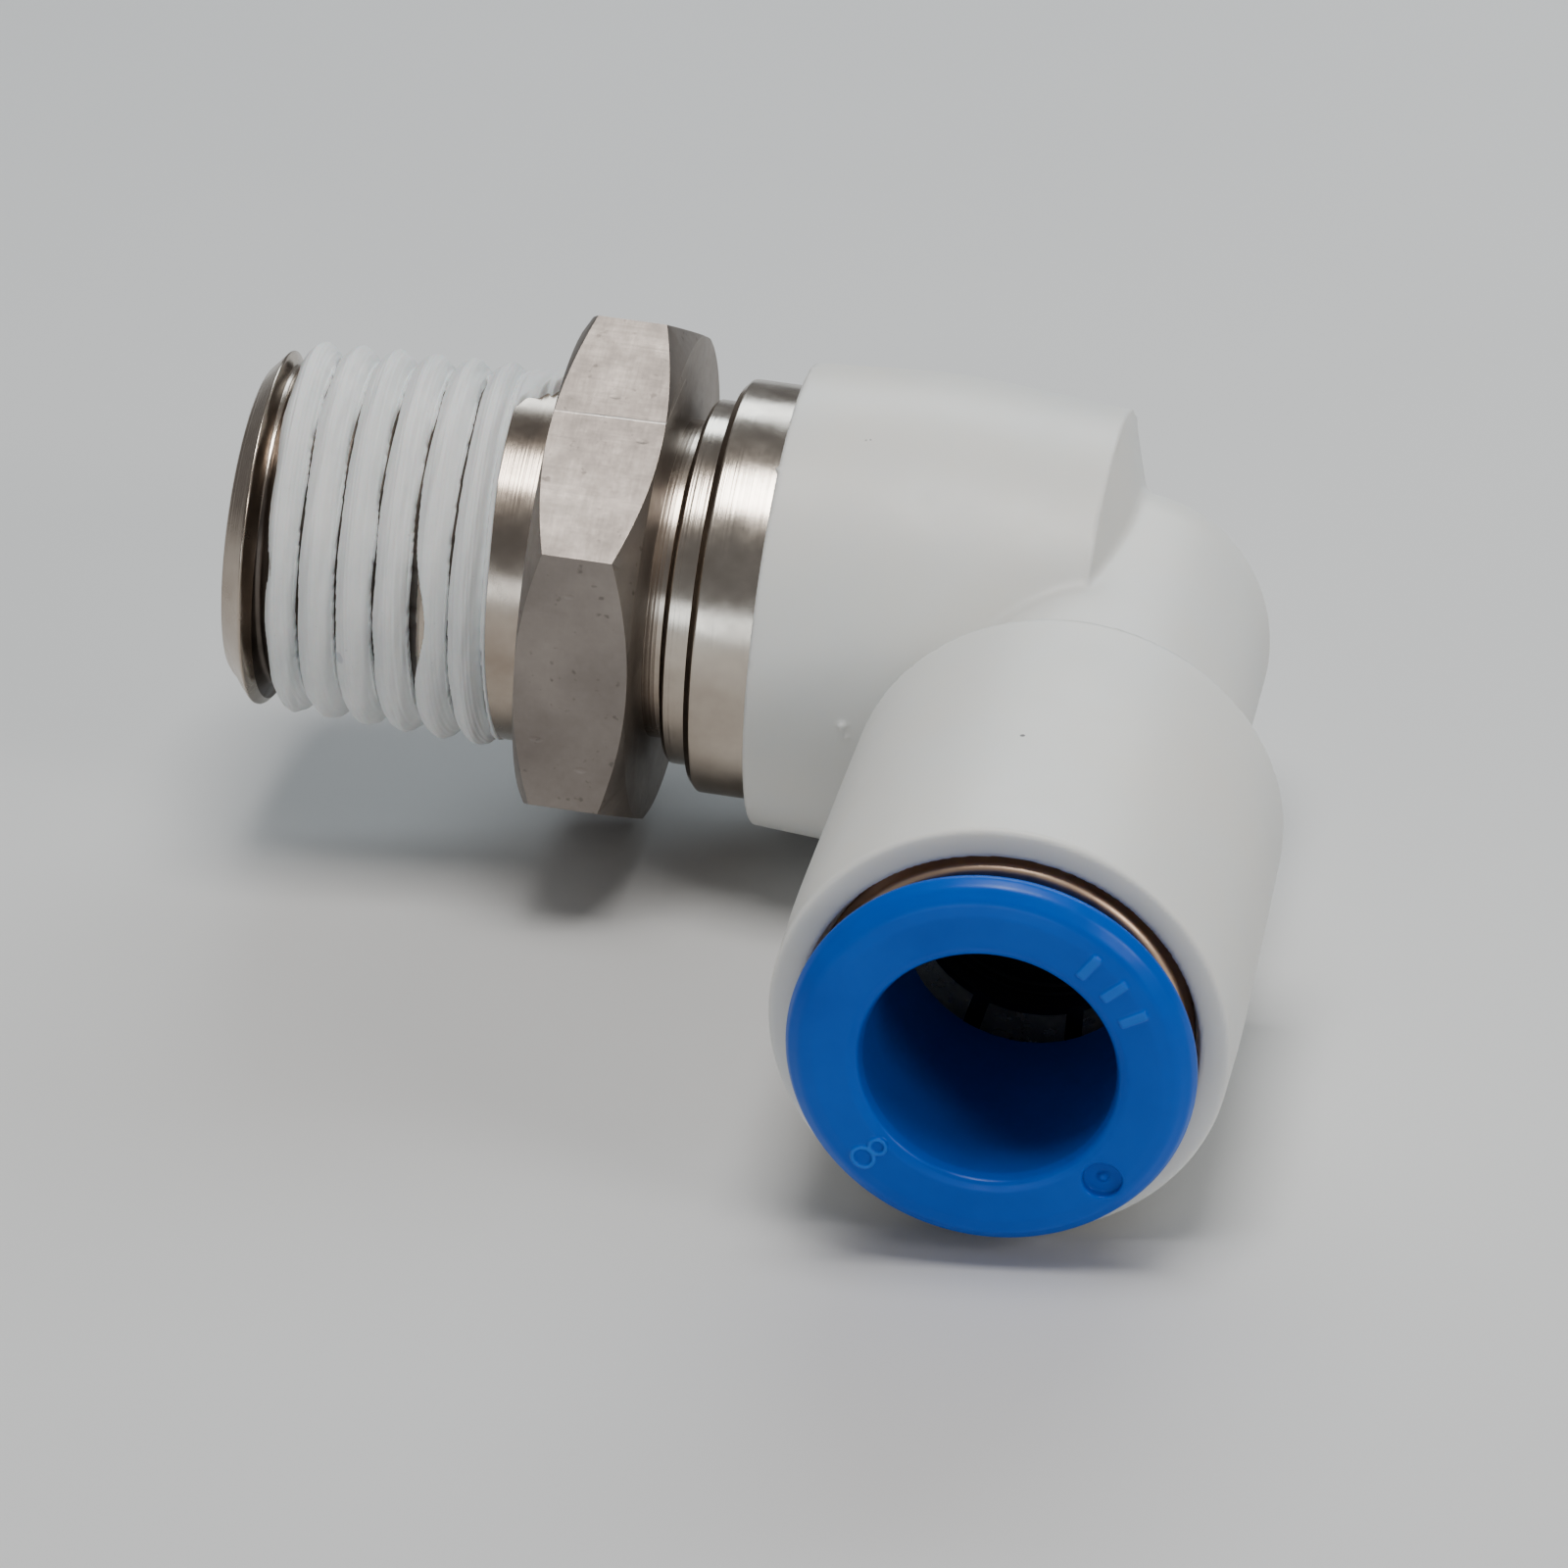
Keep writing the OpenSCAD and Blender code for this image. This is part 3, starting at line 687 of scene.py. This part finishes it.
def make_stud():
    outline = [(BORE_R, TIP_X, 0.15), (5.3, TIP_X, 0.05), (5.4, TIP_X + 0.06, 0.03), (4.7, TIP_X + 0.5, 0),
               (4.7, 0.5, 0), (SHOULDER_R, 0.5, 0), (SHOULDER_R, COLLAR_X - 0.1, 0.05),
               (SPIGOT_R, COLLAR_X - 0.1, 0.03), (SPIGOT_R, SEAL_X, 0.03), (SEAL_GROOVE_R, SEAL_X, 0.03),
               (SEAL_GROOVE_R, SEAL_END_X, 0.03), (SPIGOT_R, SEAL_END_X, 0.03), (SPIGOT_R, RING_X, 0.03),
               (RING_GROOVE_R, RING_X, 0.02), (RING_GROOVE_R, RING_END_X, 0.02), (SPIGOT_R, RING_END_X, 0.03),
               (SPIGOT_R, SPIGOT_END_X, 0.3), (SPIGOT_BORE_R, SPIGOT_END_X, 0.1),
               (SPIGOT_BORE_R, HEX_LEN + 0.4, 0.05), (BORE_R, HEX_LEN, 0.05)]
    lathe("stud_turned", rounded(outline, 0.05), "x", "stud", PLATE, ("stud",))
    make_hexagon()


def make_hexagon():
    """Hexagon with 30 degree chamfers and softened edges."""
    corner = HEX_CORNER_R
    prism = bmesh.new()
    bmesh.ops.create_cone(prism, cap_ends=True, segments=6, radius1=corner * MM, radius2=corner * MM,
                          depth=HEX_LEN * MM, matrix=Matrix.Translation((0, 0, HEX_LEN * MM / 2)))
    obj = bpy.data.objects.new("stud_hexagon", bpy.data.meshes.new("stud_hexagon"))
    prism.transform(Matrix.Rotation(math.radians(90), 4, "Y") @ Matrix.Rotation(math.radians(30), 4, "Z"))
    prism.to_mesh(obj.data)
    prism.free()
    bpy.context.scene.collection.objects.link(obj)
    obj.data.materials.append(HEX_METAL)
    obj.data.materials.append(PLATE)
    outer = corner + 0.2
    rise = (outer - 8.5) * math.tan(math.radians(30))
    outline = [(5.0, 0), (8.5, 0), (outer, rise), (outer, HEX_LEN - rise), (8.5, HEX_LEN), (5.0, HEX_LEN)]
    cutter = lathe("hexagon_cutter", outline, "x", "stud", HEX_METAL, segments=192)
    cut = obj.modifiers.new("chamfer", "BOOLEAN")
    cut.operation, cut.solver, cut.object = "INTERSECT", "EXACT", cutter
    # The bevel strips on the hexagon's edges take the plated metal: shinier, as on worn edges, and lighter in
    # colour as a painted highlight.
    edge = obj.modifiers.new("edge", "BEVEL")
    edge.width, edge.segments, edge.limit_method = 0.18 * MM, 3, "ANGLE"
    edge.angle_limit, edge.material = math.radians(14), 1
    apply_modifiers(obj)
    bpy.data.objects.remove(cutter)
    obj.data.polygons.foreach_set("use_smooth", [p.area < 2 * MM ** 2 for p in obj.data.polygons])
    material_of = [p.material_index for p in obj.data.polygons]
    dress(obj, "stud", (HEX_METAL, PLATE))
    obj.data.polygons.foreach_set("material_index", material_of)
    return obj


def apply_modifiers(obj):
    deps = bpy.context.evaluated_depsgraph_get()
    mesh = bpy.data.meshes.new_from_object(obj.evaluated_get(deps))
    obj.modifiers.clear()
    obj.data = mesh


def make_collar():
    outline = [(COLLAR_BORE_R, COLLAR_X + 0.1, 0.08), (6.28, COLLAR_X, 0.14),
               (STEP_RING_R, COLLAR_X + 0.14, 0.1), (STEP_RING_R, COLLAR_X + 0.98, 0.07),
               (7.02, COLLAR_X + 0.98, 0.1),
               (COLLAR_R, COLLAR_X + 1.22, 0.15), (COLLAR_R, MOUTH_X + 0.75, 0.1),
               (COLLAR_R - 0.15, MOUTH_X + 0.9, 0.02), (SLEEVE_R, MOUTH_X + 0.9, 0.02),
               (SLEEVE_R, SLEEVE_END_X, 0.1), (COLLAR_BORE_R, SLEEVE_END_X, 0.1)]
    lathe("collar_turned", rounded(outline, 0.08), "x", "elbow", PLATE_COLLAR,
          ("swivel_collar",))


# ---------------------------------------------------------------- moulded elbow

def curve_through(points, per_span=8):
    """Smooth curve through (radius, distance) points."""
    p = np.array(points, float)
    out = []
    for i in range(len(p) - 1):
        p0, p1, p2, p3 = p[max(i - 1, 0)], p[i], p[i + 1], p[min(i + 2, len(p) - 1)]
        for k in range(per_span):
            t = k / per_span
            out.append(0.5 * (2 * p1 + (p2 - p0) * t + (2 * p0 - 5 * p1 + 4 * p2 - p3) * t ** 2
                              + (3 * p1 - p0 - 3 * p2 + p3) * t ** 3))
    return out + [p[-1]]


def make_body():
    end_x = KNEE_X - 0.65
    side_a = curve_through([(8.13, MOUTH_X), (8.25, MOUTH_X + 1.75), (8.38, MOUTH_X + 3.8),
                            (BARREL_A_R, MOUTH_X + 4.9), (8.38, MOUTH_X + 6.1), (8.23, MOUTH_X + 8.2),
                            (8.0, end_x)])
    barrel_a = Profile(rounded([(0, MOUTH_X, 0), (*side_a[0], 0.16)] + [(*q, 0) for q in side_a[1:-1]]
                               + [(*side_a[-1], 0.10), (KNEE_R, KNEE_X + 0.2, 0), (0, KNEE_X + 0.2, 0)], 0))
    side_b = curve_through([(7.33, SHOULDER_T), (7.36, SHOULDER_T + 1.2), (7.41, SHOULDER_T + 3.4),
                            (7.46, SHOULDER_T + 6), (7.52, SHOULDER_T + 9), (BARREL_B_R, SHOULDER_T + 11.4),
                            (7.5, FACE_T)])
    barrel_b = Profile(rounded([(0, SHOULDER_T, 0), (*side_b[0], 0.34)] + [(*q, 0) for q in side_b[1:-1]]
                               + [(*side_b[-1], 0.22), (0, FACE_T, 0)], 0))
    seat_r, sleeve_seat_r = COLLAR_R + 0.02, SLEEVE_R
    seat = Profile([(0, MOUTH_X - 1), (seat_r, MOUTH_X - 1), (seat_r, MOUTH_X + 0.9),
                    (sleeve_seat_r, MOUTH_X + 0.9), (sleeve_seat_r, SLEEVE_END_X), (CAVITY_R, SLEEVE_END_X),
                    (CAVITY_R, CAVITY_END_X), (0, CAVITY_END_X)])
    socket = Profile([(0, 11), (BORE_R, 11), (BORE_R, SHOULDER_T), (POCKET_R, SHOULDER_T),
                      (POCKET_R, POCKET_END_T), (GUIDE_R + 0.02, POCKET_END_T), (GUIDE_R + 0.02, FACE_T - 1.0),
                      (RECESS_R, FACE_T - 0.9), (RECESS_R, FACE_T + 1), (0, FACE_T + 1)])
    # Moulding nubs: distance along the thread axis, angle about it, radius of the place and of the nub.
    nubs = [(MOUTH_X - 0.01, math.radians(60), 8.06, 0.10), (MOUTH_X + 0.0, math.radians(104), 8.1, 0.08),
            (MOUTH_X + 0.02, math.radians(75), 8.1, 0.05), (11.4, math.radians(-1), 8.36, 0.16),
            (11.55, math.radians(-4), 8.36, 0.10)]

    def shape(p):
        x, y, z = p
        rx, rt, t = radius_x(p), radius_tube(p), -y
        a = barrel_a(rx, x)
        down = np.clip(t, 0, 12.6)
        knee = np.sqrt((x - KNEE_X) ** 2 + (t - down) ** 2 + z ** 2) - KNEE_R
        b = barrel_b(rt, t)
        outer = blend_min(blend_min(a, knee, 0.32), b, 0.22)
        turn = np.arctan2(z, -y)
        rim = np.hypot(rx - 7.93, x - (end_x - 0.04)) - 0.075 - 0.035 * wave(turn, 41, 18, 8)
        outer = blend_min(outer, rim, 0.05)
        for nx, angle, nr, size in nubs:
            spot = np.sqrt((x - nx) ** 2 + (y + nr * math.cos(angle)) ** 2 + (z - nr * math.sin(angle)) ** 2)
            outer = blend_min(outer, spot - size, 0.06)
        hollow = np.minimum(seat(rx, x), socket(rt, t))
        along = np.clip(x, 15, KNEE_X)
        bore = np.minimum(np.sqrt((x - along) ** 2 + y ** 2 + z ** 2),
                          np.sqrt((x - KNEE_X) ** 2 + (t - np.clip(t, 0, 12.5)) ** 2 + z ** 2)) - BORE_R
        return blend_max(outer, -np.minimum(hollow, bore), 0.09)

    lo = [MOUTH_X - 0.6, -FACE_T - 0.6, -BARREL_A_R - 0.6]
    hi = [KNEE_X + BARREL_B_R + 0.6, BARREL_A_R + 0.6, BARREL_A_R + 0.6]
    points, faces = surface_of(shape, lo, hi, BODY_STEPS[1])
    make_object("elbow_moulding", points, faces, "elbow", WHITE, ("body",))


# ---------------------------------------------------------------- release button

def make_button():
    bore, sleeve = BUTTON_BORE_R, BUTTON_SLEEVE_R
    outline = [(bore, NOSE_T, 0.03), (bore + 0.15, NOSE_T, 0.03), (sleeve, NOSE_T + 1.71, 0.2),
               (sleeve, LATCH_T, 0.05), (LATCH_R, LATCH_T + 0.1, 0.05), (LATCH_R, LATCH_END_T, 0.05),
               (sleeve, LATCH_END_T, 0.05), (sleeve, FLANGE_T, 0.15), (FLANGE_R - 0.1, FLANGE_T, 0.3),
               (FLANGE_R, FLANGE_T + 0.32, 0.3), (FLANGE_R - 0.16, FLANGE_T + 0.68, 0.4),
               (FLANGE_R - 0.56, FRONT_T - 0.11, 0.6), (FLANGE_R - 1.05, FRONT_T, 0.8),
               (bore + 0.44, FRONT_T, 0.3), (bore + 0.12, FRONT_T - 0.13, 0.25), (bore, FRONT_T - 0.5, 0.3)]
    ring = Profile(rounded(outline, 0.05))
    mark, gate = math.radians(MARK_ANGLE), math.radians(GATE_ANGLE)

    def at(angle, r, p):
        """Sideways and outward distance from a spot on the front face."""
        c, s = math.cos(angle), math.sin(angle)
        dx, dz = p[0] - KNEE_X, p[2]
        return -dx * s + dz * c, dx * c + dz * s - r

    def loop(p, angle, r, wide, high, wire):
        """A raised oval ring of wire on the front face."""
        side, out = at(angle, r, p)
        flat = np.hypot(side, out * wide / high) - wide
        return np.hypot(flat, (-p[1] - FRONT_T) * 0.8) - wire

    def shape(p):
        d = ring(radius_tube(p), -p[1])
        pit = np.hypot(*at(gate, GATE_R, p))
        depth = -p[1] - FRONT_T
        dimple = blend_max(pit - 0.64, -(depth + 0.34), 0.08)
        d = blend_max(d, -dimple, 0.12)
        d = blend_min(d, np.sqrt(pit ** 2 + (depth + 0.40) ** 2) - 0.20, 0.06)
        for ring_mark in MARK_LOOPS:
            d = blend_min(d, loop(p, mark, *ring_mark), 0.05)
        for angle in BAR_ANGLES:
            side, out = at(math.radians(angle), BAR_R, p)
            bar = np.sqrt(np.maximum(np.abs(side) - 0.11, 0) ** 2 + np.maximum(np.abs(out) - 0.42, 0) ** 2
                          + depth ** 2) - 0.07
            d = blend_min(d, bar, 0.05)
        return d

    lo = [button_lo[0] - 0.3, -FRONT_T - 0.4, button_lo[2] - 0.3]
    hi = [button_hi[0] + 0.3, -NOSE_T + 0.3, button_hi[2] + 0.3]
    points, faces = surface_of(shape, lo, hi, BUTTON_STEPS[1])
    make_object("release_ring", points, faces, "button", BLUE, ("release_button",))


def make_guide():
    """Guide sleeve with a rolled rim round the button."""
    inner = GUIDE_R - 0.48
    outline = [(inner, GUIDE_T, 0.05), (GUIDE_R, GUIDE_T, 0.05), (GUIDE_R, RIM_T, 0.30), (LIP_R, RIM_T, 0.22),
               (LIP_R, RIM_T - 0.95, 0.05), (inner, RIM_T - 1.55, 0.05)]
    lathe("guide_sleeve", rounded(outline, 0.05), "tube", "elbow", BRONZE, ("guide",))


# ---------------------------------------------------------------- small inner pieces

def finish_cad_nodes():
    """The inner CAD pieces keep their shape and get a finished material; the back ring and collet get a
    near-black colour, painted shade of the deep port.
    """
    for node, material in (("spigot_seal", RUBBER), ("retaining_ring", STEEL), ("tube_seal", RUBBER),
                           ("back_ring", INNER_PAINTED_SHADE), ("collet", INNER_PAINTED_SHADE), ("chuck", STEEL)):
        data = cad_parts[node].data
        data.materials.clear()
        data.materials.append(material)


# ---------------------------------------------------------------- camera, floor and light

CAMERA_AIM = Vector((9.74, -9.63, -1.99)) * MM
CAMERA_DISTANCE = 290.2 * MM
CAMERA_AZIMUTH, CAMERA_ELEVATION, CAMERA_ROLL = 8.18, 30.05, 4.09
LENS, SENSOR = 195.9, 36.0
FLOOR_GAP = 0.12 * MM


def make_camera():
    a, e, roll = (math.radians(v) for v in (CAMERA_AZIMUTH, CAMERA_ELEVATION, CAMERA_ROLL))
    back = Vector((math.sin(a) * math.cos(e), -math.cos(a) * math.cos(e), math.sin(e)))
    data = bpy.data.cameras.new("camera")
    data.lens, data.sensor_width = LENS, SENSOR
    data.clip_start, data.clip_end = 0.01, 5.0
    cam = bpy.data.objects.new("camera", data)
    turn = (-back).to_track_quat("-Z", "Y").to_matrix() @ Matrix.Rotation(roll, 3, "Z")
    cam.matrix_world = Matrix.Translation(CAMERA_AIM + back * CAMERA_DISTANCE) @ turn.to_4x4()
    bpy.context.scene.collection.objects.link(cam)
    bpy.context.scene.camera = cam


def floor_frame():
    """Origin and axes of the surface that the fitting lies on: three touching points."""
    hexagon = Vector((HEX_LEN - 0.8, 0, -HEX_CORNER_R)) * MM
    barrel_a = Vector((KNEE_X - 0.85, 0, -7.98)) * MM
    barrel_b = Vector((KNEE_X, -FACE_T + 2.5, -BARREL_B_R)) * MM
    up = (barrel_b - hexagon).cross(barrel_a - hexagon).normalized()
    up = up if up.z > 0 else -up
    return hexagon, up


def make_floor():
    origin, up = floor_frame()
    mesh = bpy.data.meshes.new("floor")
    size = 1.6
    corners = [(-size, -size, 0), (size, -size, 0), (size, size, 0), (-size, size, 0)]
    mesh.from_pydata(corners, [], [(0, 1, 2, 3)])
    floor = bpy.data.objects.new("floor", mesh)
    turn = up.to_track_quat("Z", "Y").to_matrix().to_4x4()
    floor.matrix_world = Matrix.Translation(origin - up * FLOOR_GAP) @ turn
    floor.data.materials.append(pale_floor())
    bpy.context.scene.collection.objects.link(floor)


def make_light(name, place, aim, size, power, colour=(1, 1, 1)):
    data = bpy.data.lights.new(name, "AREA")
    data.shape, data.size, data.size_y = "RECTANGLE", size[0] * MM, size[1] * MM
    data.energy, data.color = power, colour
    light = bpy.data.objects.new(name, data)
    place, aim = Vector(place) * MM, Vector(aim) * MM
    turn = (aim - place).to_track_quat("-Z", "Y").to_matrix().to_4x4()
    light.matrix_world = Matrix.Translation(place) @ turn
    bpy.context.scene.collection.objects.link(light)


def make_lights():
    middle = (10, -8, 0)
    make_light("key", (0, -45, 290), middle, (130, 120), 0.46, (1.0, 0.985, 0.96))
    make_light("back", (20, 230, 170), middle, (240, 90), 0.25, (0.82, 0.93, 1.0))
    make_light("front", (-40, -330, 40), middle, (200, 70), 0.09, (0.86, 0.94, 1.0))
    make_light("side", (225, -155, 160), middle, (70, 60), 0.13, (1.0, 0.97, 0.93))
    world = bpy.data.worlds.new("studio")
    world.use_nodes = True
    world.node_tree.nodes["Background"].inputs["Color"].default_value = (0.62, 0.62, 0.63, 1)
    world.node_tree.nodes["Background"].inputs["Strength"].default_value = 0.30
    bpy.context.scene.world = world
    bpy.context.scene.view_settings.view_transform = "AgX"
    bpy.context.scene.view_settings.look = "AgX - Medium High Contrast"


make_camera()
make_floor()
make_lights()
make_stud()
make_thread()
make_collar()
make_body()
make_button()
make_guide()
finish_cad_nodes()
